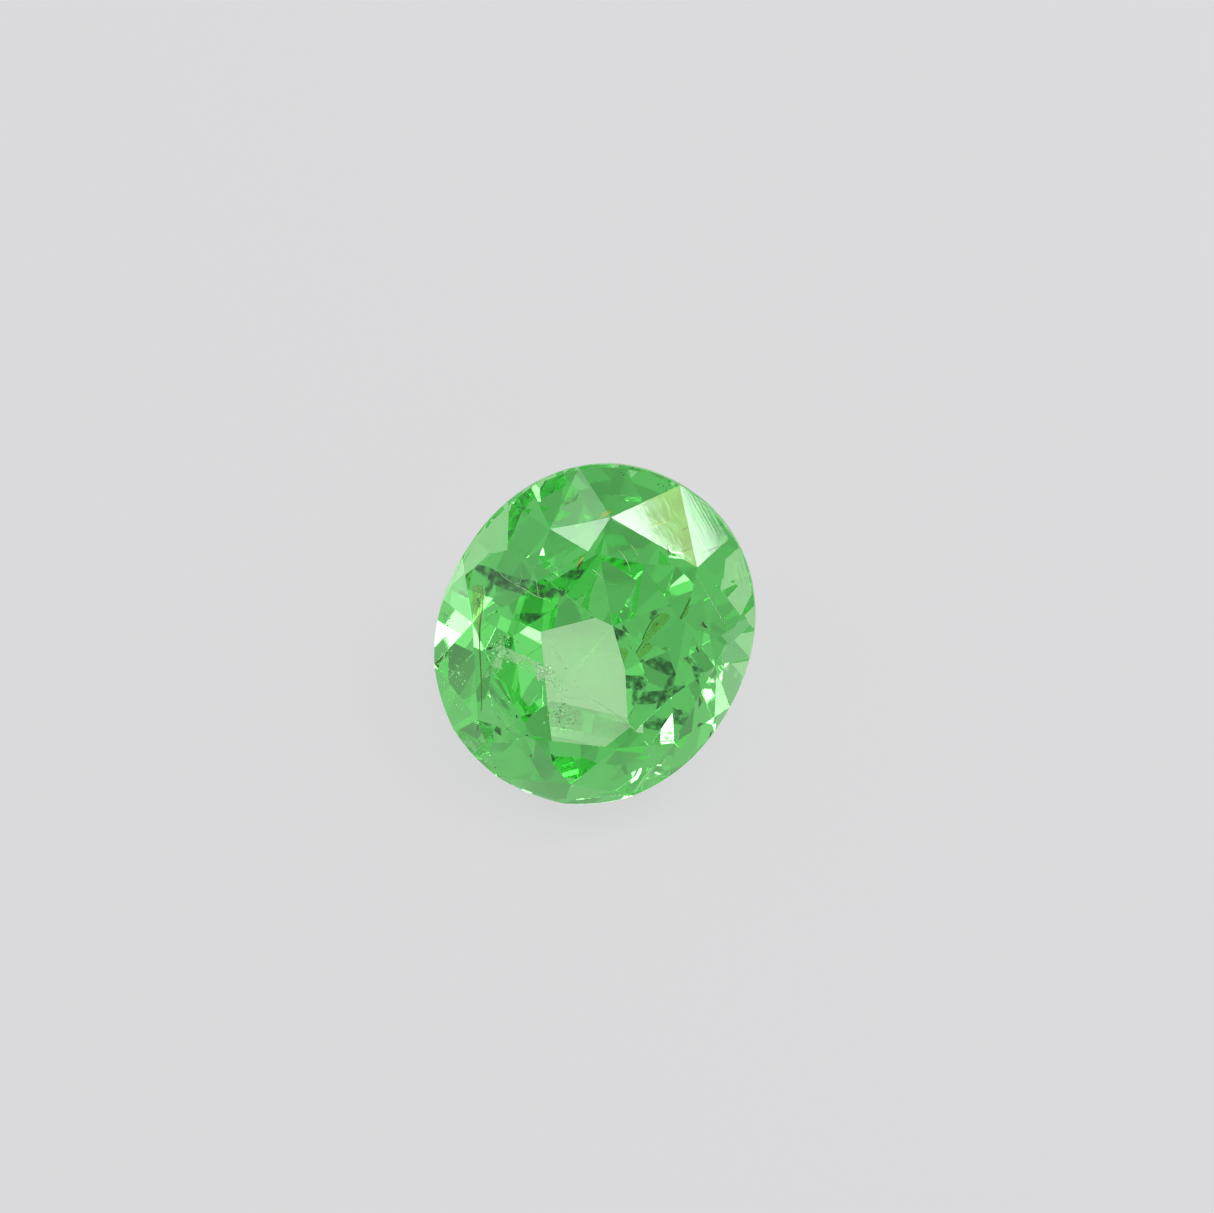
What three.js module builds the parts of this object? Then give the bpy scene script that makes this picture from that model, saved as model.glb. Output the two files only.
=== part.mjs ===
// An oval tsavorite garnet, cut as a brilliant and lying loose on a flat surface.
// Millimetres, +Z up. The origin is on that surface, under the middle of the stone.
// The stone is shaped as it is at the wheel: an oval blank, then one flat facet after another.
import * as THREE from "three";

// Size of the oval, seen square on to the table
const LENGTH = 7.3;
const WIDTH = 6.4;
// A true ellipse has 2. A little more makes the oval fuller at its shoulders
const FULLNESS = 2.1;
// The oval is drawn in steps of about this many degrees
const OUTLINE_STEP = 3.75;

// Heights over the middle of the girdle, the stone's thin rim
const GIRDLE_THICKNESS = 0.24;
const TABLE_HEIGHT = 1.08;
const STAR_TIP_HEIGHT = 0.82;
// Depths under it
const BREAK_DEPTH = 0.7;
const SHOULDER_DEPTH = 2.05;
const CULET_DEPTH = 3.1;
// The blank is this much longer at each end, for the wheel to take off
const SPARE = 1;

// Rings of corners, as shares of the oval
const TABLE_SHARE = 0.595;
const STAR_TIP_SHARE = 0.785;
const BREAK_SHARE = 0.9;

// The crown was cut a little off the middle of the oval
const CROWN_CENTRE = new THREE.Vector2(-0.18, -0.15);

// Where the corners stand round the oval, in degrees from its right end. The spacing is uneven,
// because the stone was cut by hand. The first of each row belongs to the first main facet
const MAIN_TURNS = [0, 38, 79, 127, 175, 227, 272, 312];
const HALF_TURNS = [20, 56, 105, 152, 202, 250, 290, 333];
const TABLE_TURNS = [0, 34, 80, 128, 176, 229, 272, 313];
const STAR_TIP_TURNS = [24, 52, 105, 148, 203, 254, 291, 336];

// The same for the corners of the underside, whose facets don't line up with the crown's
const LOWER_MAIN_TURNS = [24, 66, 102, 142, 198, 259, 297, 337];
const LOWER_HALF_TURNS = [0, 44, 84, 122, 169, 230, 278, 317];
// The shoulders of the underside, as degrees and distances from the culet
const SHOULDER_TURNS = [0, 37, 93, 122, 168, 228, 280, 323];
const SHOULDER_REACHES = [1.65, 1.65, 1.75, 1.45, 2, 2, 1.3, 1.7];
const CULET_CENTRE = new THREE.Vector2(0.1, -0.2);

// The stone lies on this one of the eight facets round the culet
const RESTING_FACET = 4;

// Two points nearer than this are one corner
const SNAP = 1e-5;
const GARNET_GREEN = "#5cc865";

// A point over the oval: a turn round it, a share of the way out to its edge, and a height
function ovalPoint(turn, share, height, centre = new THREE.Vector2()) {
  const angle = THREE.MathUtils.degToRad(turn);
  const across = Math.cos(angle);
  const up = Math.sin(angle);
  const bulge = (Math.abs(across) ** FULLNESS + Math.abs(up) ** FULLNESS) ** (-1 / FULLNESS);
  const x = centre.x + (share * bulge * across * LENGTH) / 2;
  const y = centre.y + (share * bulge * up * WIDTH) / 2;
  return new THREE.Vector3(x, y, height);
}

// The turns between which the 32 steep breaks stand, two over each lower half
function breakTurns() {
  const turns = LOWER_HALF_TURNS.flatMap((turn, i) => [turn, LOWER_MAIN_TURNS[i]]);
  return turns.flatMap((turn, i) => [turn, (turn + (turns[i + 1] ?? turns[0] + 360)) / 2]);
}

// Turns round the oval in small steps, with one on each corner of the facets that reach its edge
function outlineTurns() {
  const all = [...MAIN_TURNS, ...HALF_TURNS, ...breakTurns()];
  const corners = [...new Set(all)].sort((a, b) => a - b);
  return corners.flatMap((turn, i) => {
    const arc = (corners[i + 1] ?? corners[0] + 360) - turn;
    const steps = Math.ceil(arc / OUTLINE_STEP);
    return Array.from({ length: steps }, (_, k) => turn + (k * arc) / steps);
  });
}

// The blank is an upright oval cylinder, longer than the finished stone is deep
function ovalBlank() {
  const turns = outlineTurns();
  const lower = turns.map((turn) => ovalPoint(turn, 1, -CULET_DEPTH - SPARE));
  const upper = turns.map((turn) => ovalPoint(turn, 1, TABLE_HEIGHT + SPARE));
  const count = turns.length;
  const walls = turns.map((_, i) => [i, (i + 1) % count, count + ((i + 1) % count), count + i]);
  const floor = turns.map((_, i) => count - 1 - i);
  const lid = turns.map((_, i) => count + i);
  return { corners: [...lower, ...upper], faces: [...walls, floor, lid] };
}

// The flat plane through three corners, facing away from the middle of the stone
function planeThrough(a, b, c) {
  const plane = new THREE.Plane().setFromCoplanarPoints(a, b, c);
  return plane.constant > 0 ? plane.negate() : plane;
}

// The corners of a cut, in order round the plane's normal
function inOrder(corners, numbers, normal) {
  const middle = new THREE.Vector3();
  numbers.forEach((n) => middle.addScaledVector(corners[n], 1 / numbers.length));
  const right = corners[numbers[0]].clone().sub(middle).normalize();
  const forward = normal.clone().cross(right);
  const angle = (n) => {
    const arm = corners[n].clone().sub(middle);
    return Math.atan2(arm.dot(forward), arm.dot(right));
  };
  return numbers.map((n) => [angle(n), n]).sort((p, q) => p[0] - q[0]).map((pair) => pair[1]);
}

// Grinds one facet: what lies beyond the plane goes, and the cut closes with a new flat face
function grind(stone, plane) {
  const corners = [...stone.corners];
  const over = corners.map((corner) => plane.distanceToPoint(corner));
  if (!stone.faces.flat().some((n) => over[n] > SNAP)) return stone;
  const edges = new Map();
  const rim = new Set();
  const crossing = (a, b) => {
    const key = Math.min(a, b) + ":" + Math.max(a, b);
    if (!edges.has(key)) {
      const share = over[a] / (over[a] - over[b]);
      edges.set(key, corners.push(corners[a].clone().lerp(corners[b], share)) - 1);
    }
    return edges.get(key);
  };
  const faces = stone.faces.map((face) => {
    const kept = [];
    face.forEach((a, i) => {
      const b = face[(i + 1) % face.length];
      if (over[a] <= SNAP) kept.push(a);
      if (Math.abs(over[a]) <= SNAP) rim.add(a);
      if (Math.min(over[a], over[b]) < -SNAP && Math.max(over[a], over[b]) > SNAP) {
        kept.push(crossing(a, b));
        rim.add(kept.at(-1));
      }
    });
    return kept;
  });
  if (rim.size > 2) faces.push(inOrder(corners, [...rim], plane.normal));
  return { corners, faces: faces.filter((face) => face.length > 2) };
}

// Table, eight star facets, eight mains parted at the star tips, and sixteen upper halves
function crownPlanes() {
  const rim = GIRDLE_THICKNESS / 2;
  const mains = MAIN_TURNS.map((turn) => ovalPoint(turn, 1, rim));
  const halves = HALF_TURNS.map((turn) => ovalPoint(turn, 1, rim));
  const table = TABLE_TURNS.map((t) => ovalPoint(t, TABLE_SHARE, TABLE_HEIGHT, CROWN_CENTRE));
  const tips = STAR_TIP_TURNS.map((t) =>
    ovalPoint(t, STAR_TIP_SHARE, STAR_TIP_HEIGHT, CROWN_CENTRE));
  const planes = [planeThrough(table[0], table[3], table[6])];
  mains.forEach((main, i) => {
    const next = (i + 1) % mains.length;
    const last = (i + mains.length - 1) % mains.length;
    planes.push(planeThrough(table[i], tips[i], table[next]));
    planes.push(planeThrough(table[i], tips[last], tips[i]));
    planes.push(planeThrough(main, tips[last], tips[i]));
    planes.push(planeThrough(main, tips[i], halves[i]));
    planes.push(planeThrough(mains[next], tips[i], halves[i]));
  });
  return planes;
}

// The corners of the underside where its inner facets end
function shoulderPoints() {
  return SHOULDER_TURNS.map((turn, i) => {
    const angle = THREE.MathUtils.degToRad(turn);
    const x = CULET_CENTRE.x + SHOULDER_REACHES[i] * Math.cos(angle);
    const y = CULET_CENTRE.y + SHOULDER_REACHES[i] * Math.sin(angle);
    return new THREE.Vector3(x, y, -SHOULDER_DEPTH);
  });
}

// The eight facets that meet at the culet, the lowest corner of the underside
function culetPlanes() {
  const culet = new THREE.Vector3(CULET_CENTRE.x, CULET_CENTRE.y, -CULET_DEPTH);
  const shoulders = shoulderPoints();
  return shoulders.map((shoulder, i) =>
    planeThrough(culet, shoulder, shoulders[(i + 1) % shoulders.length]));
}

// Steep narrow facets right under the girdle
function breakPlanes() {
  const turns = breakTurns();
  return turns.map((turn, i) => {
    const next = turns[(i + 1) % turns.length];
    const start = ovalPoint(turn, 1, -GIRDLE_THICKNESS / 2);
    const end = ovalPoint(next, 1, -GIRDLE_THICKNESS / 2);
    return planeThrough(start, end, ovalPoint(next, BREAK_SHARE, -BREAK_DEPTH));
  });
}

// Between the breaks and the shoulders: sixteen lower halves and eight mains
function lowerPlanes() {
  const shoulders = shoulderPoints();
  return LOWER_MAIN_TURNS.flatMap((turn, i) => {
    const next = (i + 1) % shoulders.length;
    const turns = [LOWER_HALF_TURNS[i], turn, LOWER_HALF_TURNS[next]];
    const [start, middle, end] = turns.map((t) => ovalPoint(t, BREAK_SHARE, -BREAK_DEPTH));
    return [
      planeThrough(start, middle, shoulders[i]),
      planeThrough(middle, end, shoulders[next]),
      planeThrough(middle, shoulders[i], shoulders[next]),
    ];
  });
}

// A fan of triangles over one face, from the corner that gives the roundest triangles
function widestFan(corners, face) {
  const fans = face.map((_, turn) => {
    const loop = [...face.slice(turn), ...face.slice(0, turn)];
    const fan = loop.slice(2).map((c, i) => [loop[0], loop[i + 1], c]);
    const areas = fan.map((t) => new THREE.Triangle(...t.map((n) => corners[n])).getArea());
    return { fan, least: Math.min(...areas) };
  });
  return fans.reduce((best, one) => (one.least > best.least ? one : best)).fan;
}

// Turns the stone onto its resting facet, with its table leaning towards -Y
function restingTurn(plane) {
  const facing = Math.atan2(plane.normal.y, plane.normal.x);
  const spin = new THREE.Quaternion();
  spin.setFromAxisAngle(new THREE.Vector3(0, 0, 1), -Math.PI / 2 - facing);
  const down = new THREE.Vector3(0, 0, -1);
  const tip = new THREE.Quaternion();
  tip.setFromUnitVectors(plane.normal.clone().applyQuaternion(spin), down);
  return tip.multiply(spin);
}

function tsavorite() {
  const inner = culetPlanes();
  const planes = [...crownPlanes(), ...breakPlanes(), ...lowerPlanes(), ...inner];
  const stone = planes.reduce(grind, ovalBlank());
  const triangles = stone.faces.flatMap((face) => widestFan(stone.corners, face));
  const geometry = new THREE.BufferGeometry();
  geometry.setFromPoints(triangles.flat().map((n) => stone.corners[n]));
  geometry.computeVertexNormals();
  const material = new THREE.MeshStandardMaterial({
    color: GARNET_GREEN,
    roughness: 0.05,
    metalness: 0,
  });
  const mesh = new THREE.Mesh(geometry, material);
  mesh.name = "stone";
  mesh.quaternion.copy(restingTurn(inner[RESTING_FACET]));
  mesh.updateMatrixWorld();
  const box = new THREE.Box3().setFromObject(mesh, true);
  const middle = box.getCenter(new THREE.Vector3());
  mesh.position.set(-middle.x, -middle.y, -box.min.z);
  return mesh;
}

const garnet = new THREE.Group();
garnet.add(tsavorite());

export default garnet;
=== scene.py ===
# %% [markdown]
# # An oval tsavorite garnet, loose on a pale table
# Tsavorite is the green garnet. This one is a little over seven millimetres long, cut as an oval
# brilliant: a flat table on top, rings of crown facets round it, a thin girdle, and a deep
# pointed underside. A loose stone can't balance on its point, so it lies on one of its lower
# facets. What the eye sees is mostly light that went in through the crown, bounced off the facets
# of the underside and came out again, greener for every millimetre. So the facets are kept exact,
# and the colour is in the volume, not on the surface.

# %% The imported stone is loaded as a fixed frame
from math import cos, radians, sin, sqrt

import bmesh
import bpy
import numpy as np
from mathutils import Matrix, Vector
from mathutils.bvhtree import BVHTree


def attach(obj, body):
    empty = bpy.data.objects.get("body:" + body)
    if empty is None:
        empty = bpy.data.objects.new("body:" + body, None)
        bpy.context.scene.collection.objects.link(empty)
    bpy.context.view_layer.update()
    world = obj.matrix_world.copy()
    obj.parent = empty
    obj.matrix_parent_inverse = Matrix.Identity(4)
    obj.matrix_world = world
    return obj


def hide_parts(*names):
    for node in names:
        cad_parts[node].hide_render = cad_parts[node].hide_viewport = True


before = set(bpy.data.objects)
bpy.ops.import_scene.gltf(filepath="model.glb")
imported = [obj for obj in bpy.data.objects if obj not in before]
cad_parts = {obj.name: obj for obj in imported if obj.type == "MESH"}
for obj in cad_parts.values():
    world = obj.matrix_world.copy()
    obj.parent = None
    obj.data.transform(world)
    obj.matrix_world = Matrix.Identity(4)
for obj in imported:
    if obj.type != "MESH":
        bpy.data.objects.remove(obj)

MM = 0.001
scene = bpy.context.scene
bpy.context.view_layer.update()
stone_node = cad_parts["stone"]

# %% [markdown]
# ## The camera
# The photograph looks nearly square on to the stone's table. The stone lies tipped here, so the
# camera looks down steeply, and stands a little to one side of the table's own direction. A long
# lens from 14 centimetres keeps the oval free of perspective, as a macro picture of a stone does.
# The camera comes first, because the marks inside the stone are placed by where they show.

# %% Camera
PHOTO_WIDE = 1214
PHOTO_HIGH = 1213
PIXELS_PER_MM = 48
# Where the camera stands, in degrees: round from the front toward +X, and up from the table top
AZIMUTH = 13.3
ELEVATION = 68
# Millimetres, as photographers name a lens and a sensor
LENS = 200
SENSOR = 36
NEAREST_SEEN = 10 * MM
# The middle of the girdle, and the pixel of the photograph where it shows
GIRDLE_MIDDLE = Vector((0, 0, 2.634)) * MM
GIRDLE_PIXEL = (594.4, 634.6)

turn = radians(AZIMUTH)
rise = radians(ELEVATION)
toward = Vector((sin(turn) * cos(rise), -cos(turn) * cos(rise), sin(rise)))
right = Vector((cos(turn), sin(turn), 0))
up = toward.cross(right)


def on_image_plane(pixel):
    """The point that shows at a pixel, on the plane through the middle of the girdle that faces
    the camera: pixels from the girdle's own pixel, divided by the scale."""
    across = (pixel[0] - GIRDLE_PIXEL[0]) / PIXELS_PER_MM * MM
    down = (pixel[1] - GIRDLE_PIXEL[1]) / PIXELS_PER_MM * MM
    return GIRDLE_MIDDLE + right * across - up * down


camera = bpy.data.objects.new("camera", bpy.data.cameras.new("camera"))
scene.collection.objects.link(camera)
camera.data.lens = LENS
camera.data.sensor_width = SENSOR
camera.data.clip_start = NEAREST_SEEN
distance = PHOTO_WIDE / PIXELS_PER_MM * MM * LENS / SENSOR
camera.location = on_image_plane((PHOTO_WIDE / 2, PHOTO_HIGH / 2)) + toward * distance
camera.rotation_mode = "QUATERNION"
camera.rotation_quaternion = toward.to_track_quat("Z", "Y")
scene.camera = camera
print("camera stands", round(distance / MM), "mm from the stone")

# %% [markdown]
# ## Two small helpers
# Colours are picked as sRGB hex values, which Blender needs as linear light. A material is a tree
# of nodes, and each node is added with its settings and its links in one call.

# %% Colours and nodes


def linear(hex_colour):
    """An sRGB hex colour as linear red, green, blue and alpha: below 0.04045 a value is divided by
    12.92, and above it the rest of the sRGB curve is a power of 2.4."""
    srgb = np.array([int(hex_colour[i:i + 2], 16) for i in (1, 3, 5)]) / 255
    light = np.where(srgb <= 0.04045, srgb / 12.92, ((srgb + 0.055) / 1.055) ** 2.4)
    return (*light.tolist(), 1)


def add(tree, kind, inputs=None, **settings):
    """Adds a node. Settings are its own properties. An input gets a plain value, or a link when it
    is given another node's output."""
    node = tree.nodes.new(kind)
    for name, value in settings.items():
        setattr(node, name, value)
    for name, value in (inputs or {}).items():
        if isinstance(value, bpy.types.NodeSocket):
            tree.links.new(value, node.inputs[name])
        else:
            node.inputs[name].default_value = value
    return node


def new_material(name):
    """An empty material and its tree."""
    material = bpy.data.materials.new(name)
    material.use_nodes = True
    material.node_tree.nodes.clear()
    return material, material.node_tree


print("#808080 is", round(linear("#808080")[0], 3), "of white in linear light")

# %% [markdown]
# ## The stone
# The cutter's facets meet in edges that are never knife sharp: wear and polishing leave a line
# about three hundredths of a millimetre wide, which catches the light as a thin bright thread.
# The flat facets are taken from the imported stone, its triangles are merged back into whole
# facets, and each edge is bevelled. A bevel only takes material away, so the piece stays inside
# the stone's own box. A modifier could bevel it too, but the marks inside are placed by rays that
# meet the finished skin, so its mesh is wanted at once.

# %% Facets with softened edges
EDGE_WEAR = 0.028 * MM
EDGE_STEPS = 4
ROUND = 0.5
# Corners closer than this are one corner, and triangles within this angle are one facet
WELD = 0.0005 * MM
FLAT_WITHIN = radians(0.2)


def softened_stone():
    """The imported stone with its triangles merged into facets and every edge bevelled."""
    mesh = bpy.data.meshes.new("garnet")
    shape = bmesh.new()
    shape.from_mesh(stone_node.data)
    bmesh.ops.remove_doubles(shape, verts=shape.verts, dist=WELD)
    bmesh.ops.dissolve_limit(shape, angle_limit=FLAT_WITHIN, verts=shape.verts, edges=shape.edges)
    print("facets", len(shape.faces), "edges", len(shape.edges))
    bmesh.ops.bevel(
        shape,
        geom=shape.edges[:],
        offset=EDGE_WEAR,
        offset_type="WIDTH",
        segments=EDGE_STEPS,
        profile=ROUND,
        affect="EDGES",
        clamp_overlap=True,
    )
    shape.to_mesh(mesh)
    shape.free()
    piece = bpy.data.objects.new("garnet", mesh)
    scene.collection.objects.link(piece)
    return piece


garnet = softened_stone()
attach(garnet, "root")
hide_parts("stone")
print("faces with bevels", len(garnet.data.polygons))

# %% [markdown]
# ## Wear, facet by facet
# The facets aren't all finished alike. The girdle is ground and left unpolished, so it is
# frosted. Three crown facets on the right carry fine polishing lines, and the others are nearly
# perfect. A painted map could say that, but wear changes from one facet to the next and hardly
# within one. So each face gets one number for its wear, and the material turns that into
# roughness and scratches.

# %% Where a pixel's view meets the stone
# How much garnet bends light
GARNET_IOR = 1.74
faces = garnet.data.polygons
corners = [corner.co for corner in garnet.data.vertices]
skin = BVHTree.FromPolygons(corners, [tuple(face.vertices) for face in faces])


def view_hit(pixel):
    """Where the view through a pixel meets the stone: point, normal, face and view direction."""
    ahead = (on_image_plane(pixel) - camera.location).normalized()
    point, normal, face, _ = skin.ray_cast(camera.location, ahead)
    return point, normal, face, ahead


def refracted(ahead, normal):
    """A direction bent by Snell's law on the way into the stone: shortened by the index, then moved
    against the normal until its length is 1 again."""
    bend = 1 / GARNET_IOR
    across = ahead.dot(normal)
    return ahead * bend - normal * (bend * across + sqrt(1 - bend**2 * (1 - across**2)))


def inside(pixel, depth):
    """The point that shows at a pixel from inside the stone, at a depth in millimetres along the
    bent view."""
    point, normal, _, ahead = view_hit(pixel)
    return point + refracted(ahead, normal) * depth * MM


print("the middle pixel meets face", view_hit(GIRDLE_PIXEL)[2], "of", len(faces))

# %% A wear value on every face
FROSTED = 1.0
SCRATCHED = 0.3
FAINTLY_SCRATCHED = 0.2
BARELY_WORN = 0.04
# The largest slope of a girdle face toward the table's direction
GIRDLE_TILT = 0.12
# A pixel on each scratched facet
WORN_PIXELS = {
    (662, 524): FAINTLY_SCRATCHED,
    (703, 527): SCRATCHED,
    (746, 590): FAINTLY_SCRATCHED,
}
table = max(faces, key=lambda face: face.area)
wear = np.full(len(faces), BARELY_WORN)
for face in faces:
    if abs(face.normal.dot(table.normal)) < GIRDLE_TILT:
        wear[face.index] = FROSTED
for pixel, value in WORN_PIXELS.items():
    wear[view_hit(pixel)[2]] = value
garnet.data.attributes.new("wear", "FLOAT", "FACE").data.foreach_set("value", wear)
print("frosted faces", int((wear == FROSTED).sum()), "scratched facets", len(WORN_PIXELS))

# %% [markdown]
# ## The garnet itself
# Tsavorite is grossular garnet, coloured by a trace of vanadium. It bends light by 1.74, far more
# than glass, which gives it bright reflections and a critical angle of only 35 degrees. It takes
# red and blue out of the light and lets green through, so a short way through the stone is pale
# and a long way is deep green. That is a plain volume absorption, per metre. Green glass could be
# tinted at its surface instead, but then a long way and a short way would come out alike.

# %% Tsavorite, polished
ABSORBED_PER_METRE = 208
BODY_GREEN = "#80fa88"
# A trace of yellow at each crossing of the skin
SKIN_TINT = "#fffff3"
ROUGHEST = 0.35
# Lapped facets bow by a fraction of a degree, so what they mirror is drawn a little out of shape
BOW_SIZE = 0.9 * MM
BOW_HEIGHT = 0.0015 * MM
# Polishing lines all run one way, and smear a lamp's image across them. Real ones are a few
# thousandths of a millimetre apart, and these are drawn coarser so that a few of them show
SCRATCH_SPACING = 0.026 * MM
SCRATCH_LENGTH = 3 * MM
SCRATCH_HEIGHT = 0.0006 * MM
# Two pixels along one line
SCRATCH_START = (690, 500)
SCRATCH_END = (715, 545)


def scratch_turn():
    """The turn that lays Y along the scratches and Z along the scratched facet's normal."""
    start, normal, _, _ = view_hit(SCRATCH_START)
    along = (view_hit(SCRATCH_END)[0] - start).normalized()
    across = along.cross(normal)
    return Matrix((across, along, normal)).transposed().to_euler()


def tsavorite_polished():
    """Clear garnet. Its skin bows a little, and is rough and scratched where it is worn. Roughness
    is the square of the wear, so it is nearly nothing except on the girdle."""
    material, tree = new_material("tsavorite_polished")
    place = add(tree, "ShaderNodeTexCoord").outputs["Object"]
    worn = add(tree, "ShaderNodeAttribute", attribute_name="wear").outputs["Fac"]
    bow = add(tree, "ShaderNodeTexNoise", {"Vector": place, "Scale": 1 / BOW_SIZE, "Detail": 0})
    along = {
        "Vector": place,
        "Rotation": scratch_turn(),
        "Scale": (SCRATCH_SPACING, SCRATCH_LENGTH, SCRATCH_SPACING),
    }
    stretched = add(tree, "ShaderNodeMapping", along, vector_type="TEXTURE").outputs["Vector"]
    lines = add(tree, "ShaderNodeTexNoise", {"Vector": stretched, "Scale": 1, "Detail": 2})
    bowed = {"Height": bow.outputs["Fac"], "Strength": 1, "Distance": BOW_HEIGHT}
    bowed_skin = add(tree, "ShaderNodeBump", bowed)
    scratched = {
        "Height": lines.outputs["Fac"],
        "Strength": worn,
        "Distance": SCRATCH_HEIGHT,
        "Normal": bowed_skin.outputs["Normal"],
    }
    scratched_skin = add(tree, "ShaderNodeBump", scratched)
    rough = add(tree, "ShaderNodeMath", {0: worn, 1: 2}, operation="POWER").outputs["Value"]
    roughness = add(tree, "ShaderNodeMath", {0: rough, 1: ROUGHEST}, operation="MULTIPLY")
    look = {
        "Base Color": linear(SKIN_TINT),
        "Transmission Weight": 1,
        "Roughness": roughness.outputs["Value"],
        "IOR": GARNET_IOR,
        "Normal": scratched_skin.outputs["Normal"],
    }
    surface = add(tree, "ShaderNodeBsdfPrincipled", look)
    body = {"Color": linear(BODY_GREEN), "Density": ABSORBED_PER_METRE}
    volume = add(tree, "ShaderNodeVolumeAbsorption", body)
    output = {"Surface": surface.outputs["BSDF"], "Volume": volume.outputs["Volume"]}
    add(tree, "ShaderNodeOutputMaterial", output)
    return material


garnet.data.materials.append(tsavorite_polished())
kept = np.exp(-ABSORBED_PER_METRE * MM * (1 - np.array(linear(BODY_GREEN)[:3])))
print("red, green and blue left after a millimetre", kept.round(3).tolist())

# %% [markdown]
# ## Shapes for what lies inside
# A natural garnet holds things that were there while it grew: a long crystal, small grains, and
# cracks that healed again. They could be drawn on the skin, but then the facets behind wouldn't
# mirror them, as they do in a real stone. So each is a small mesh inside. It is placed by the
# pixel it shows at: the view is bent at the facet it passes, and followed for a short depth.

# %% Pieces and smooth paths


def piece(name, points, faces, material):
    """A mesh that rides with the stone."""
    mesh = bpy.data.meshes.new(name)
    mesh.from_pydata(np.asarray(points).tolist(), [], [list(map(int, face)) for face in faces])
    mesh.materials.append(material)
    body = bpy.data.objects.new(name, mesh)
    scene.collection.objects.link(body)
    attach(body, "root")
    print(name, len(mesh.polygons), "faces")
    return body


def joined(parts):
    """Several shapes as one list of points and one of faces."""
    points, faces, count = [], [], 0
    for some_points, some_faces in parts:
        points.append(some_points)
        faces += [tuple(corner + count for corner in face) for face in some_faces]
        count += len(some_points)
    return np.vstack(points), faces


# The last spot stops this far short of the last row, so that it still lies between two rows
JUST_SHORT = 1e-9


def smooth_path(points, count):
    """Points spread evenly by number along a list of rows, each column drawn through the rows by a
    Catmull-Rom curve: between two rows a cubic whose slopes are half the step from the row before
    to the row after."""
    rows = np.asarray(points, float)
    padded = np.vstack([2 * rows[0] - rows[1], rows, 2 * rows[-1] - rows[-2]])
    spot = np.linspace(0, len(rows) - 1 - JUST_SHORT, count)
    left = spot.astype(int)
    t = (spot - left)[:, None]
    a, b, c, d = (padded[left + k] for k in range(4))
    bend = (2 * a - 5 * b + 4 * c - d) * t**2 + (3 * b - a - 3 * c + d) * t**3
    return b + ((c - a) * t + bend) / 2


bow = smooth_path([(0, 0), (1, 1), (2, 0)], 5)
print("a bow through three rows passes", bow.round(2).tolist())

# %% [markdown]
# ## Lines as thin tubes
# A needle, a healed crack and a cloudy film are all long and narrow. A ribbon of flat faces would
# do for the eye, but it has no inside and no outside. A tube of ellipses that is hardly thicker
# than a ribbon looks the same and is closed.

# %% Tubes
# How far an end sticks out, in half widths
BLUNT = 0.3


def tube(path, wide, deep, sides=8):
    """Rings of an ellipse along a path, with a blunt point on each end. The half width lies across
    the path and the view, and the half depth lies along the view."""
    path = np.asarray(path)
    along = np.gradient(path, axis=0)
    along /= np.linalg.norm(along, axis=1)[:, None]
    across = np.cross(along, np.asarray(toward))
    across /= np.linalg.norm(across, axis=1)[:, None]
    through = np.cross(across, along)
    angles = np.arange(sides) * 2 * np.pi / sides
    wide = np.broadcast_to(wide, len(path))
    deep = np.broadcast_to(deep, len(path))
    rings = (
        path[:, None]
        + across[:, None] * (wide[:, None] * np.cos(angles))[..., None]
        + through[:, None] * (deep[:, None] * np.sin(angles))[..., None]
    )
    tips = [path[0] - along[0] * wide[0] * BLUNT, path[-1] + along[-1] * wide[-1] * BLUNT]
    points = np.vstack([rings.reshape(-1, 3), tips])
    side = np.arange(sides)
    after = np.roll(side, -1)
    rows = np.arange(len(path) - 1)[:, None] * sides
    a, b = (rows + side).ravel(), (rows + after).ravel()
    around = np.stack([a, a + sides, b + sides, b], axis=1)
    first, last = np.full(sides, len(path) * sides), np.full(sides, len(path) * sides + 1)
    end_ring = first - sides
    ends = np.stack([first, side, after, last, end_ring + after, end_ring + side], axis=1)
    return points, around.tolist() + ends.reshape(-1, 3).tolist()


# A tapered line is drawn from this far into its half wave to as far before its end, in radians
TIP = 0.12


def traced(pixels, depth, half_width, count=24, flat=1.0):
    """A tube that shows along a curve through pixels. Its half width is the square root of a sine,
    so it tapers to both ends like a healed crack."""
    spots = smooth_path(pixels, count)
    path = [inside(spot, depth) for spot in spots]
    taper = np.sin(np.linspace(TIP, np.pi - TIP, count)) ** 0.5
    return tube(path, taper * half_width * MM, taper * half_width * flat * MM, sides=6)


print("corners of a short tube", len(traced([SCRATCH_START, SCRATCH_END], 0.1, 0.01)[0]))

# %% [markdown]
# ## What the inclusions are made of
# All of them lie behind some green, so the pale ones are given paler and yellower colours than they
# show.
# Crystals are banded and stained, and a healed crack is a film of tiny bubbles, so none is one
# plain colour. A photograph of each could be laid on it, but noise of the right size in
# millimetres gives the same look from every side. Two shades change in patches, and thin films
# have clear gaps too.

# %% A mottled solid
# Where the noise goes from the first colour to the second
COLOUR_EDGE = (0.35, 0.65)
# The clear patches are this much finer than the coloured ones, and this soft at their edges
FINER = 3
HOLE_EDGE = 0.1


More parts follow.
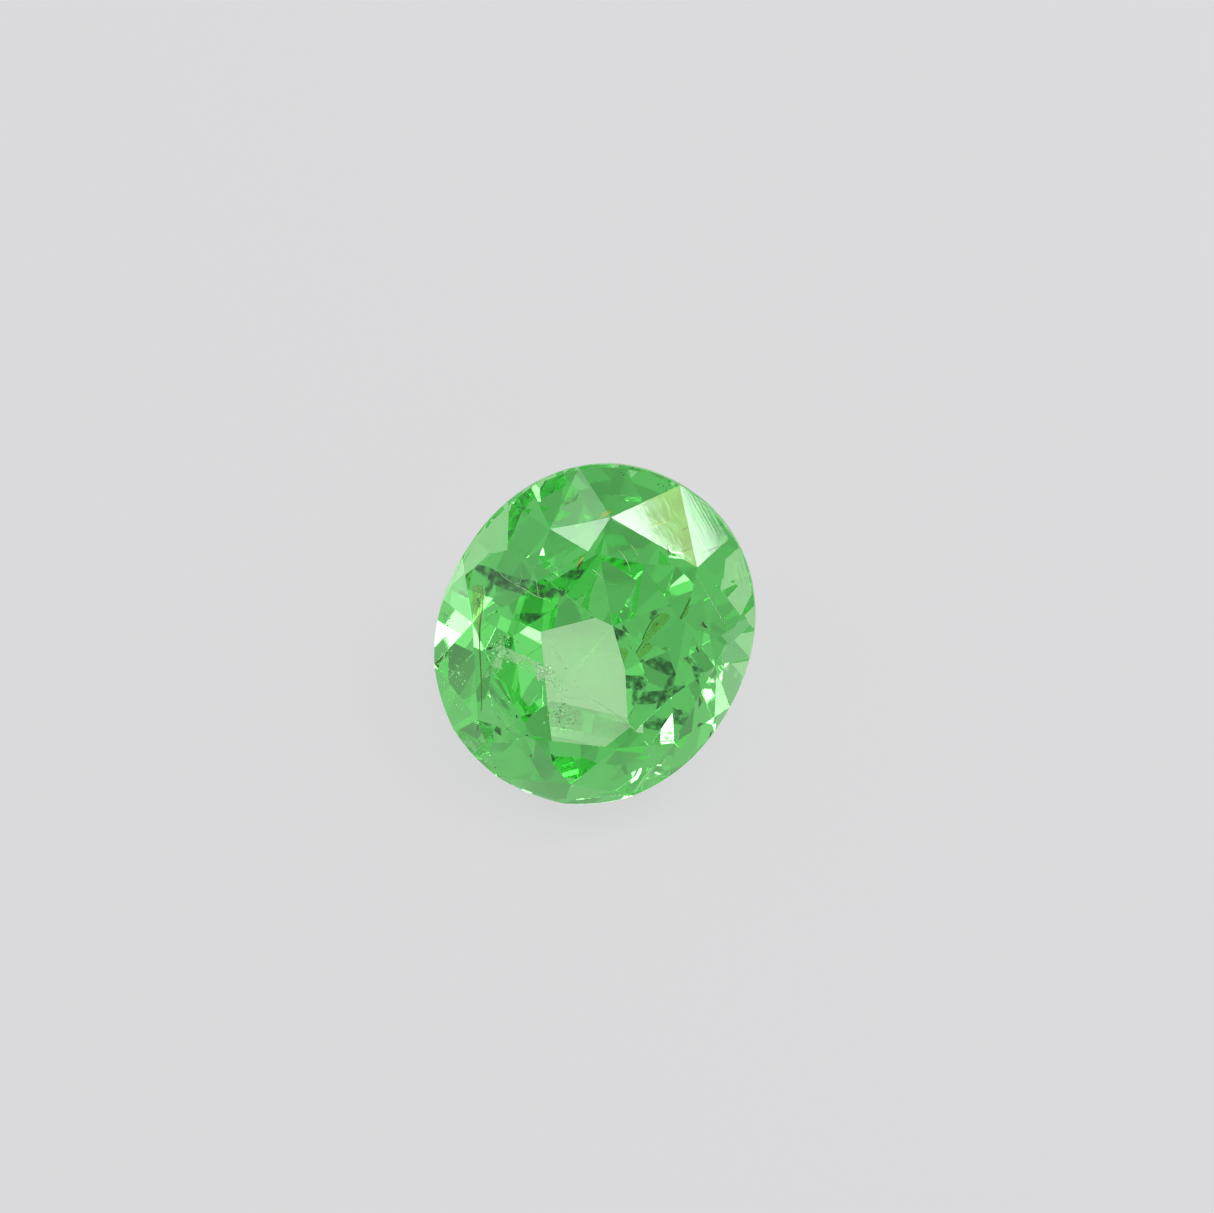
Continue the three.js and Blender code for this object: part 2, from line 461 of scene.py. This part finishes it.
def mottled(name, first, second, size, roughness, clear=None, coverage=0.5, tint="#ffffff"):
    """A solid inclusion with two colours in patches of a size in millimetres. Between a least and a
    most share of it can be clear, in smaller patches, and tints what shows through it."""
    material, tree = new_material(name)
    place = add(tree, "ShaderNodeTexCoord").outputs["Object"]
    coarse = {"Vector": place, "Scale": 1 / (size * MM), "Detail": 3}
    patches = add(tree, "ShaderNodeTexNoise", coarse)
    low, high = COLOUR_EDGE
    edge = {"Value": patches.outputs["Fac"], "From Min": low, "From Max": high}
    share = add(tree, "ShaderNodeMapRange", edge).outputs["Result"]
    colours = {"Fac": share, "Color1": linear(first), "Color2": linear(second)}
    mix = add(tree, "ShaderNodeMixRGB", colours)
    look = {"Base Color": mix.outputs["Color"], "Roughness": roughness}
    body = add(tree, "ShaderNodeBsdfPrincipled", look).outputs["BSDF"]
    if clear:
        finer = {"Vector": place, "Scale": FINER / (size * MM), "Detail": 4}
        fine = add(tree, "ShaderNodeTexNoise", finer)
        gap = {
            "Value": fine.outputs["Fac"],
            "From Min": coverage - HOLE_EDGE,
            "From Max": coverage + HOLE_EDGE,
            "To Min": clear[0],
            "To Max": clear[1],
        }
        hole = add(tree, "ShaderNodeMapRange", gap).outputs["Result"]
        gaps = add(tree, "ShaderNodeBsdfTransparent", {"Color": linear(tint)}).outputs["BSDF"]
        body = add(tree, "ShaderNodeMixShader", {0: hole, 1: body, 2: gaps}).outputs["Shader"]
    add(tree, "ShaderNodeOutputMaterial", {"Surface": body})
    return material


print("from the first colour to the second between", COLOUR_EDGE)

# %% Crystals, cracks and stains
# After each name: two shades, the size of the patches in millimetres, and the roughness
# Actinolite grows as long flat crystals: pale tan, nearly clear, and a little dull
blade_tan = mottled(
    "actinolite_blade_tan", "#fff4dc", "#f6e4c0", 0.3, 0.5, clear=(0.7, 0.97), tint="#fff0dc"
)
# Rutile grows as hairs: brown, and so thin that they only read as a line
needle_brown = mottled("rutile_needle_brown", "#7d6a34", "#9a8a44", 0.05, 0.4)
# Graphite is dark and dull, and grains of it hide what is behind. The dark film is painted shade:
# a thin dark cloud laid where the facets mirror the dark lens
# The same dark material also paints the shaded side of the nick below, as painted shade
dark_mottle = mottled("graphite_grains_and_painted_shade", "#2c3a26", "#4b5a3a", 0.05, 0.5)
painted_shade_film = mottled(
    "painted_shade_film_dark", "#1e3a24", "#34462a", 0.45, 0.6, clear=(0.38, 0.9), coverage=0.48
)
# Healed cracks are full of tiny bubbles that scatter light: whitish lines and milky films
# The same white also paints the lit side of the nick below, as a painted highlight
white_crack_and_highlight = mottled(
    "healed_crack_and_painted_highlight", "#ffffff", "#eaf4e2", 0.08, 0.6, clear=(0, 0.8), coverage=0.55
)
film_white = mottled("healed_film_milky", "#ffffff", "#f2f6ea", 0.4, 0.7, clear=(0.55, 0.98))
# Iron rust is a thin yellow skin in a crack, broken by gaps
# The same yellow also paints one glint of coloured light split by the facets, as a painted
# highlight
yellow_stain_and_glint = mottled(
    "iron_stain_and_painted_glint_yellow", "#fff23a", "#f0c23c", 0.03, 0.5, clear=(0, 0.5), coverage=0.55
)
print("materials so far", [material.name for material in bpy.data.materials])

# %% [markdown]
# ## Clear grains
# Most of the small grains look bright and have a dark rim, as clear balls do in a clear stone that
# bends light more. White paint would show none of that. So they are quartz, seen from inside
# garnet, and only patches of their skin are frosted white.

# %% Quartz in garnet
QUARTZ_IOR = 1.54
QUARTZ_ROUGHNESS = 0.02
# The size of the frosted patches, and how the noise turns to frost
FROST_SIZE = 0.03 * MM
FROST = {"From Min": 0.4, "From Max": 0.65, "To Max": 0.75}


def quartz_grains_clear():
    """Small clear crystals, frosted in patches. Quartz bends light less than the garnet round it,
    so each grain works as a weak lens with a dark rim."""
    material, tree = new_material("quartz_grains_clear")
    place = add(tree, "ShaderNodeTexCoord").outputs["Object"]
    patches = {"Vector": place, "Scale": 1 / FROST_SIZE, "Detail": 2}
    frost = add(tree, "ShaderNodeTexNoise", patches)
    clear = {"IOR": QUARTZ_IOR / GARNET_IOR, "Roughness": QUARTZ_ROUGHNESS}
    glass = add(tree, "ShaderNodeBsdfGlass", clear)
    white = add(tree, "ShaderNodeBsdfDiffuse", {"Color": linear("#ffffff")})
    share = {"Value": frost.outputs["Fac"], **FROST}
    frosted = add(tree, "ShaderNodeMapRange", share).outputs["Result"]
    both = {0: frosted, 1: glass.outputs["BSDF"], 2: white.outputs["BSDF"]}
    mix = add(tree, "ShaderNodeMixShader", both).outputs["Shader"]
    add(tree, "ShaderNodeOutputMaterial", {"Surface": mix})
    return material


grains_pale = quartz_grains_clear()
print("the index of quartz inside garnet is", round(QUARTZ_IOR / GARNET_IOR, 3))

# %% [markdown]
# ## The long crystal on the left
# A flat tan blade lies under the crown's left side, about a millimetre long. A brown needle
# starts at its top, follows its right edge and runs on for a millimetre and a half below it. One
# mesh could be both, but one is nearly clear and the other is brown, so each has a mesh and a
# material of its own. Rows that were measured in the photograph give their course and their half
# width.

# %% Blade and needle
# Pixel across, pixel down, half width in millimetres
BLADE = [
    (477.8, 586.2, 0.118),
    (477.8, 591, 0.128),
    (477.4, 601, 0.121),
    (477.1, 610, 0.102),
    (477.1, 617.5, 0.075),
    (477.8, 624, 0.047),
    (478.5, 631, 0.024),
    (479.3, 641, 0.01),
]
NEEDLE = [
    (482.4, 589, 0.008),
    (483.2, 597, 0.012),
    (482.2, 609, 0.014),
    (480.8, 618, 0.015),
    (479.6, 632, 0.018),
    (480, 653, 0.019),
    (481.2, 679, 0.016),
    (481.4, 697, 0.013),
    (481.5, 712, 0.006),
]
# Their depth in millimetres, the steps along them, and how thick they are for their width
LONG_CRYSTAL_DEPTH = 0.12
LONG_CRYSTAL_STEPS = 60
BLADE_FLAT = 0.1
NEEDLE_FLAT = 0.8


def long_crystal(name, rows, flatness, material):
    """A tapering crystal through pixels with a half width at each."""
    fine = smooth_path(rows, LONG_CRYSTAL_STEPS)
    path = [inside(row[:2], LONG_CRYSTAL_DEPTH) for row in fine]
    return piece(name, *tube(path, fine[:, 2] * MM, fine[:, 2] * flatness * MM), material)


long_crystal("blade", BLADE, BLADE_FLAT, blade_tan)
long_crystal("needle", NEEDLE, NEEDLE_FLAT, needle_brown)

# %% [markdown]
# ## Grains
# Swarms of crystals between a hundredth and a tenth of a millimetre across, most of them in a
# loose arc left of and below the middle, and under the left edge. They could be spread evenly
# through the stone, but real ones crowd where the crystal stopped growing for a while. So each
# swarm has a middle of its own. There are hundreds of grains, so each has only the twenty faces
# of a ball of triangles, stretched and turned in its own way.

# %% One swarm
rng = np.random.default_rng(7)
# The least and the most that a grain is stretched along each of its own axes
STRETCH = (0.7, 1.3)


def ball():
    """Corners and triangles of an icosahedron with a radius of 1."""
    shape = bmesh.new()
    bmesh.ops.create_icosphere(shape, subdivisions=1, radius=1)
    shape.verts.index_update()
    corners = np.array([corner.co for corner in shape.verts])
    faces = [tuple(corner.index for corner in face.verts) for face in shape.faces]
    shape.free()
    return corners, faces


def grains(middle, spread, count, size, depth):
    """Small rounded crystals scattered round a pixel. Their places follow a bell curve in the
    picture, and a place beside the stone is dropped. Half widths and depths are even between two
    limits in millimetres, and each grain is stretched and turned by chance."""
    places = np.asarray(middle) + rng.normal(size=(count, 2)) * spread
    places = [place for place in places if view_hit(place)[0]]
    count = len(places)
    depths = rng.uniform(*depth, count)
    middles = np.array([inside(place, deep) for place, deep in zip(places, depths)])
    stretch = rng.uniform(*STRETCH, (count, 1, 3)) * rng.uniform(*size, (count, 1, 1)) * MM
    turns, _ = np.linalg.qr(rng.normal(size=(count, 3, 3)))
    turns *= np.sign(np.linalg.det(turns))[:, None, None]
    corners, ball_faces = ball()
    points = middles[:, None] + (corners * stretch) @ turns
    starts = range(0, count * len(corners), len(corners))
    faces = [tuple(start + corner for corner in face) for start in starts for face in ball_faces]
    return points.reshape(-1, 3), faces


print("a grain has", len(ball()[1]), "faces")

# %% Swarms of grains
# Middle pixel, spread in pixels, number, half width and depth in millimetres
PALE_SWARMS = [
    ((500, 650), (6, 8), 70, (0.008, 0.03), (0.1, 0.6)),
    ((544, 672), (7, 4), 22, (0.035, 0.06), (0.1, 0.3)),
    ((556, 684), (8, 4), 30, (0.008, 0.03), (0.1, 0.5)),
    ((561, 716), (7, 8), 80, (0.006, 0.022), (0.1, 0.5)),
    ((449, 670), (7, 11), 54, (0.016, 0.028), (0.05, 0.2)),
    ((462, 678), (5, 6), 16, (0.014, 0.024), (0.05, 0.2)),
    ((457, 705), (5, 5), 24, (0.014, 0.024), (0.05, 0.2)),
    ((592, 739), (5, 6), 24, (0.005, 0.014), (0.1, 0.4)),
    ((612, 732), (14, 6), 30, (0.004, 0.012), (0.1, 0.6)),
]
DARK_SWARMS = [
    ((504, 650), (6, 8), 26, (0.008, 0.022), (0.3, 0.8)),
    ((562, 716), (6, 8), 26, (0.008, 0.02), (0.3, 0.7)),
    ((545, 675), (7, 5), 18, (0.006, 0.014), (0.3, 0.7)),
    ((477.5, 604), (1.6, 4), 9, (0.008, 0.02), (0.05, 0.07)),
    ((446, 618), (3, 4), 20, (0.008, 0.02), (0.03, 0.2)),
]
piece("grains_pale", *joined([grains(*swarm) for swarm in PALE_SWARMS]), grains_pale)
piece("dark_mottle", *joined([grains(*swarm) for swarm in DARK_SWARMS]), dark_mottle)

# %% [markdown]
# ## Healed cracks
# Hair-fine pale lines, thinner than a pixel of the photograph, mark where cracks ended. Two wider
# films of tiny bubbles lie beside the grains. A dark film that runs in from the top of the blade is
# painted shade: it stands where the facets mirror the dark lens. A whole crack could be made as a
# wide curved sheet, but most of it is healed so well that it can't be seen. So only its bright
# edges and its cloudy parts are made.

# %% Lines and films
# Pixels along each line; then the depth and the half width in millimetres
CRACKS = [
    ([(694, 571), (710, 599), (727, 629), (744, 668)], 0.02, 0.006),
    ([(617, 549), (623, 555), (628, 564), (630.5, 572)], 0.05, 0.008),
    ([(592, 569), (597, 573), (602, 578)], 0.05, 0.009),
    ([(630, 544), (634, 549), (638, 556)], 0.05, 0.006),
    ([(486, 563), (496, 569), (504, 577), (513, 583)], 0.1, 0.009),
    ([(513, 583), (518.5, 583.5), (521.5, 578), (520, 571)], 0.1, 0.006),
    ([(514, 584), (524, 589), (536, 596), (550, 601)], 0.1, 0.01),
    ([(536, 580), (537.5, 589), (538.5, 598)], 0.1, 0.006),
    ([(586, 695), (600, 704), (618, 716), (640, 734)], 0.1, 0.009),
    ([(540, 672), (552, 684), (566, 697), (586, 700)], 0.15, 0.006),
    ([(614, 495), (626, 495.5), (637, 498)], 0.04, 0.005),
    ([(543, 640), (552, 638), (562, 636)], 0.1, 0.005),
    ([(549, 644), (556, 652), (563, 662)], 0.1, 0.005),
    ([(739, 556), (744, 573), (749, 590)], 0.02, 0.005),
    ([(736, 560), (741, 580), (743, 594)], 0.02, 0.004),
]
# Middle line in pixels, half width in millimetres
FILMS = [
    ([(497, 648), (512, 656), (528, 665), (541, 674), (550, 683)], 0.14),
    ([(500, 655), (494, 668), (484, 678)], 0.08),
]
# The same for the dark film of painted shade, and for a branch of it beside the blade
PAINTED_SHADE_FILMS = [
    ([(476, 567), (486, 572), (499, 579), (513, 584), (530, 588), (548, 592), (564, 594)], 0.15),
    ([(491, 574), (490, 582), (488, 590), (486, 597)], 0.09),
]
# The films' depth in millimetres, the steps along them, and how thick they are for their width
FILM_DEPTH = 0.25
FILM_STEPS = 30
FILM_FLAT = 0.03
piece("crack_lines", *joined([traced(*crack) for crack in CRACKS]), white_crack_and_highlight)
films = [traced(line, FILM_DEPTH, half, FILM_STEPS, FILM_FLAT) for line, half in FILMS]
piece("crack_films", *joined(films), film_white)
painted_shade_films = [traced(line, FILM_DEPTH, half, FILM_STEPS, FILM_FLAT) for line, half in PAINTED_SHADE_FILMS]
piece("painted_shade_films", *joined(painted_shade_films), painted_shade_film)

# %% [markdown]
# ## Stains, a painted glint and dark specks
# Iron has stained two spots yellow. A third yellow streak is a painted glint: coloured light split
# by the facets, laid in as a yellow spot. Small dark flakes lie on the right and above the middle.
# A nick in the long lower edge of the largest bright facet has a shaded side and a lit side, and
# both
# are painted: a dark tube for its shade and a white one for its highlight. They could be spots in
# the colour of the facets, but they lie a little under the skin, and move against it when the
# stone is turned. So they are short flat tubes, like the cracks.

# %% Stains, a painted glint, specks and a nick's painted shade and highlight
# Pixels along each; then the depth and the half width in millimetres
# The first row is no stain but a painted glint: a streak of coloured light split by the facets
STAINS_AND_GLINT = [
    ([(600.5, 517), (605, 514.5), (611, 511)], 0.06, 0.045),
    ([(577, 567), (580, 562), (583.5, 556)], 0.08, 0.02),
    ([(652, 527), (657, 524), (663, 521.5)], 0.05, 0.012),
]
SPECKS = [
    ([(702.5, 622), (703.5, 625), (707, 628)], 0.05, 0.03),
    ([(696.5, 646), (697, 649), (699, 652)], 0.05, 0.02),
    ([(577, 571), (579, 566), (583, 561)], 0.05, 0.022),
]
# The nick's dark tube is painted shade on its shaded side, and its pale tube a painted highlight on
# its lit side
NICK_PAINTED_SHADE = ([(667.5, 544), (668, 549), (668.5, 554)], 0.01, 0.014)
NICK_PAINTED_HIGHLIGHT = ([(669.5, 545), (671.5, 550), (671, 556)], 0.01, 0.015)
# Steps along a spot, and how thick the nick, the stains and the flakes are for their width
SPOT_STEPS = 12
NICK_FLAT = 0.3
SPOT_FLAT = 0.2
piece("nick_painted_shade", *traced(*NICK_PAINTED_SHADE, SPOT_STEPS, NICK_FLAT), dark_mottle)
piece("nick_painted_highlight", *traced(*NICK_PAINTED_HIGHLIGHT, SPOT_STEPS, NICK_FLAT), white_crack_and_highlight)
stains_and_glint = [traced(*stain, SPOT_STEPS, SPOT_FLAT) for stain in STAINS_AND_GLINT]
piece("stains_and_glint", *joined(stains_and_glint), yellow_stain_and_glint)
specks = [traced(*speck, SPOT_STEPS, SPOT_FLAT) for speck in SPECKS]
piece("specks", *joined(specks), dark_mottle)

# %% [markdown]
# ## The table top
# Gem photographs are taken on a light table: a sheet of opal acrylic with an even glow from
# below. That is why the thin rim of this stone and the facets one can look straight through are
# pale, and why there is hardly a shadow. A plain white board would do for the background, but it
# is dark right under the stone. So most of the brightness is the sheet's own glow, and the rest
# is the room's light on its matt skin.

# %% Opal sheet
# Metres: far larger than the picture, so that no edge of it shows
SHEET_ACROSS = 1.2
SHEET_SKIN = "#5c5c5e"
SHEET_ROUGHNESS = 0.75
# A trace of magenta in the glow makes up for the faint green of the room
GLOW_COLOUR = "#fffbff"
GLOW = 0.615
# The stone touches the sheet at a few grains of dust, so a film of air is left under its facet
AIR_FILM = 0.02 * MM
# The faint waves of a cast skin
WAVE_SIZE = 2.5 * MM
WAVE_HEIGHT = 0.02 * MM
WAVE_STRENGTH = 0.05


def opal_acrylic_matt():
    """Matt opal acrylic, lit evenly from below, with the faint mottle of its cast surface."""
    material, tree = new_material("opal_acrylic_matt")
    place = add(tree, "ShaderNodeTexCoord")
    grain = {"Vector": place.outputs["Object"], "Scale": 1 / WAVE_SIZE, "Detail": 3}
    mottle = add(tree, "ShaderNodeTexNoise", grain)
    shallow = {
        "Height": mottle.outputs["Fac"],
        "Strength": WAVE_STRENGTH,
        "Distance": WAVE_HEIGHT,
    }
    skin = add(tree, "ShaderNodeBump", shallow)
    look = {
        "Base Color": linear(SHEET_SKIN),
        "Roughness": SHEET_ROUGHNESS,
        "Emission Color": linear(GLOW_COLOUR),
        "Emission Strength": GLOW,
        "Normal": skin.outputs["Normal"],
    }
    matt = add(tree, "ShaderNodeBsdfPrincipled", look)
    add(tree, "ShaderNodeOutputMaterial", {"Surface": matt.outputs["BSDF"]})
    return material


corner = SHEET_ACROSS / 2
sheet_mesh = bpy.data.meshes.new("opal_sheet")
sheet_corners = [
    (-corner, -corner, -AIR_FILM),
    (corner, -corner, -AIR_FILM),
    (corner, corner, -AIR_FILM),
    (-corner, corner, -AIR_FILM),
]
sheet_mesh.from_pydata(sheet_corners, [], [(0, 1, 2, 3)])
sheet_mesh.materials.append(opal_acrylic_matt())
opal_sheet = bpy.data.objects.new("opal_sheet", sheet_mesh)
scene.collection.objects.link(opal_sheet)
print("the sheet is", SHEET_ACROSS, "m across")

# %% [markdown]
# ## The lamps
# A facet is a small mirror, and is white only if a lamp stands just where it looks. A bright lamp
# stands behind the stone on the right, in two parts with a warm card between them, and two crown
# facets mirror it. The other lamps grey two more facets and make the white sparks inside. One
# large soft light would be simpler, but it would whiten many facets or none. So there are many
# smaller ones, and each is placed by its direction from the stone.

# %% Lamps
WHITE = "#ffffff"
WARM = "#ffe6a8"
# Each lamp's azimuth and elevation in degrees, its distance, its move on its own plane, its width
# and its height in millimetres, its radiance and its colour
LAMPS = {
    "lamp_behind": (138, 57, 110, (-2.5, -4), 19, 34, 9, WHITE),
    "lamp_behind_high": (138, 57, 110, (10.3, 26), 11.4, 12.2, 11, WHITE),
    "warm_card_behind": (138, 57, 110, (8.2, 17.9), 9.6, 3.8, 3.4, WARM),
    "lamp_right": (110, 52, 150, (0, 0), 26, 22, 6, WHITE),
    "lamp_front_low": (52, 9, 200, (0, 0), 60, 26, 2, WHITE),
    "lamp_left_low": (-98, 9, 200, (0, 0), 50, 26, 2, WHITE),
    "lamp_front_high": (-60, 77, 170, (0, 0), 30, 22, 2.5, WHITE),
    "lamp_left_high": (-101, 67, 150, (-2.3, -1.7), 10, 10, 5, WHITE),
    "lamp_left": (-127, 54, 150, (-2.2, -1.5), 13, 13, 1.3, WHITE),
    "lamp_far_left": (-123, 62, 150, (0, 0), 16, 14, 6, WHITE),
    "lamp_left_middle": (-93, 58, 150, (0, 0), 18, 16, 5, WHITE),
    "lamp_back_high": (167, 77, 150, (0, 0), 16, 16, 5, WHITE),
    "lamp_top": (40, 84, 150, (0, 0), 14, 14, 5, WHITE),
}


def direction(azimuth, elevation):
    """A unit vector: azimuth 0 is toward -Y, and turns to +X."""
    flat, steep = radians(azimuth), radians(elevation)
    return Vector((sin(flat) * cos(steep), -cos(flat) * cos(steep), sin(steep)))


def soft_lamp(name, azimuth, elevation, away, move, wide, high, radiance, colour):
    """A flat rectangular lamp on a plane that faces the stone, in millimetres. Its power is its
    radiance times its area times pi."""
    toward_lamp = direction(azimuth, elevation)
    light = bpy.data.lights.new(name, "AREA")
    light.shape = "RECTANGLE"
    light.size = wide * MM
    light.size_y = high * MM
    light.energy = radiance * wide * high * MM * MM * np.pi
    light.color = linear(colour)[:3]
    lamp = bpy.data.objects.new(name, light)
    lamp.rotation_mode = "QUATERNION"
    lamp.rotation_quaternion = toward_lamp.to_track_quat("Z", "Y")
    sideways = lamp.rotation_quaternion @ Vector((*move, 0))
    lamp.location = GIRDLE_MIDDLE + (toward_lamp * away + sideways) * MM
    lamp.visible_camera = False
    scene.collection.objects.link(lamp)


for name, values in LAMPS.items():
    soft_lamp(name, *values)
print(len(LAMPS), "lamps")

# %% [markdown]
# ## The room
# Everything else that the stone mirrors is a pale room, faintly green, with parts that are
# brighter or darker. The lens is one of the dark ones, and the facets that send the view back the
# way it came show it. A picture of a real room could stand here, but a few round patches with
# soft edges are enough to set the facets off from each other, and each can be moved on its own.

# %% The room
ROOM_PALE = "#abc2b4"
# Each part's azimuth, elevation and radius in degrees, and its share of the room's light
PATCHES = {
    "lens": (AZIMUTH, ELEVATION, 16, 0.68),
    "front": (0, 42, 15, 0.82),
    "front_low": (30, 16, 13, 0.8),
    "front_left": (-38, 33, 13, 0.75),
    "wall_left": (-92, 40, 16, 1.5),
    "wall_behind": (172, 44, 10, 1.25),
    "ceiling_left": (-70, 69, 8, 1.7),
    "lamp_arm": (-108, 60, 5, 0.45),
    "wall_far_left": (-140, 60, 6, 0.55),
}
# Half the width of a patch's soft edge, in degrees
SOFT_EDGE = 4


def room_patch(tree, way, azimuth, elevation, radius, share):
    """A share of the room's light near a direction: a round patch with a soft edge."""
    middle = tuple(direction(azimuth, elevation))
    near = add(tree, "ShaderNodeVectorMath", {0: way, 1: middle}, operation="DOT_PRODUCT")
    fade = {
        "Value": near.outputs["Value"],
        "From Min": cos(radians(radius + SOFT_EDGE)),
        "From Max": cos(radians(radius - SOFT_EDGE)),
        "To Min": 1,
        "To Max": share,
    }
    return add(tree, "ShaderNodeMapRange", fade, interpolation_type="SMOOTHSTEP").outputs["Result"]


world = bpy.data.worlds.new("room")
scene.world = world
world.use_nodes = True
room = world.node_tree
background = room.nodes["Background"]
background.inputs["Color"].default_value = linear(ROOM_PALE)
way = add(room, "ShaderNodeTexCoord").outputs["Generated"]
light = 1.0
for values in PATCHES.values():
    share = room_patch(room, way, *values)
    both = {0: light, 1: share}
    light = add(room, "ShaderNodeMath", both, operation="MULTIPLY").outputs["Value"]
room.links.new(light, background.inputs["Strength"])
scene.view_settings.view_transform = "Standard"
# Light that is caught between the facets needs many bounces to find its way out
MOST_BOUNCES = 24
scene.cycles.max_bounces = MOST_BOUNCES
scene.cycles.transmission_bounces = MOST_BOUNCES
scene.cycles.glossy_bounces = MOST_BOUNCES
# Filter Glossy would blur the sparks
scene.cycles.blur_glossy = 0
print(len(PATCHES), "patches in the room")
